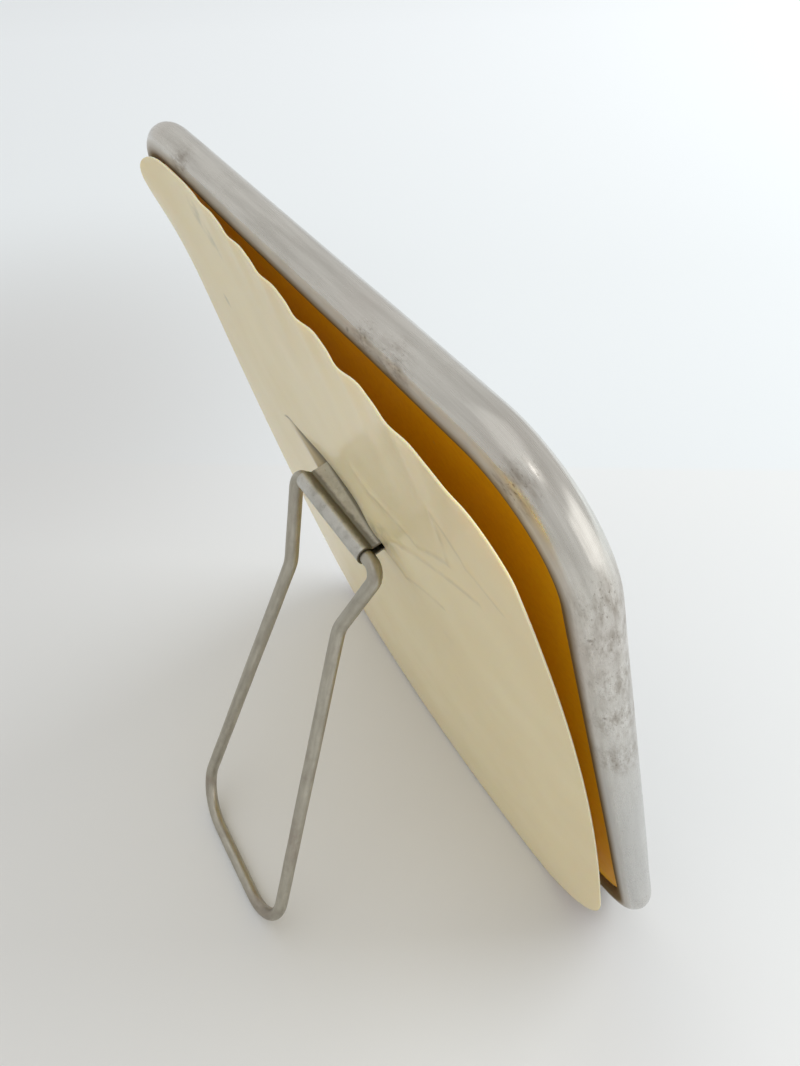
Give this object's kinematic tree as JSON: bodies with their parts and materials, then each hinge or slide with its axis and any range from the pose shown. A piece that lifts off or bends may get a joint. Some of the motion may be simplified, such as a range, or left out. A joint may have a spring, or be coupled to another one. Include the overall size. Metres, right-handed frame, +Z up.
{
  "type": "easel-back table mirror",
  "caption": "Small bevelled shaving mirror in a bent metal tube rim, with a warped cream celluloid back and a hinged wire easel stand.",
  "frame": {"origin": "on the table, under the middle of the object's width and depth, with the stand swung out as in use", "axes": "+Z up, +X along the rim's bottom edge, the mirror face towards -Y and the wire stand towards +Y"},
  "size_m": [0.1524, 0.0894, 0.1729],
  "materials": {
    "nickel_rim": "worn satin nickel plate with fine pitting",
    "plain_steel": "plain sheet steel",
    "clear_glass": "polished, wide bevel",
    "silvering": "mirror silvering",
    "cushion_paper": "soft grey-brown paper",
    "amber_board": "amber brown pressboard with a smooth calendered face",
    "cream_celluloid": "glossy, slightly see-through, aged cream",
    "bracket_steel": "dull nickel plate",
    "wire_steel": "dull oxidised nickel plate"
  },
  "bodies": {
    "mirror": {"rim": "nickel_rim", "rim_joint_sleeve": "plain_steel", "mirror_glass": "clear_glass", "mirror_silvering": "silvering", "cushion_paper": "cushion_paper", "backing_board": "amber_board", "back_sheet": "cream_celluloid", "stand_bracket": "bracket_steel", "bracket_anchor_plate": "plain_steel"},
    "stand": {"wire_stand": "wire_steel"}
  },
  "joints": [
    {"name": "stand_hinge", "type": "hinge", "parent": "mirror", "child": "stand", "pos_m": [0, -0.00402, 0.10949], "axis": [1, 0, 0], "range_deg": [-34, 142]}
  ]
}
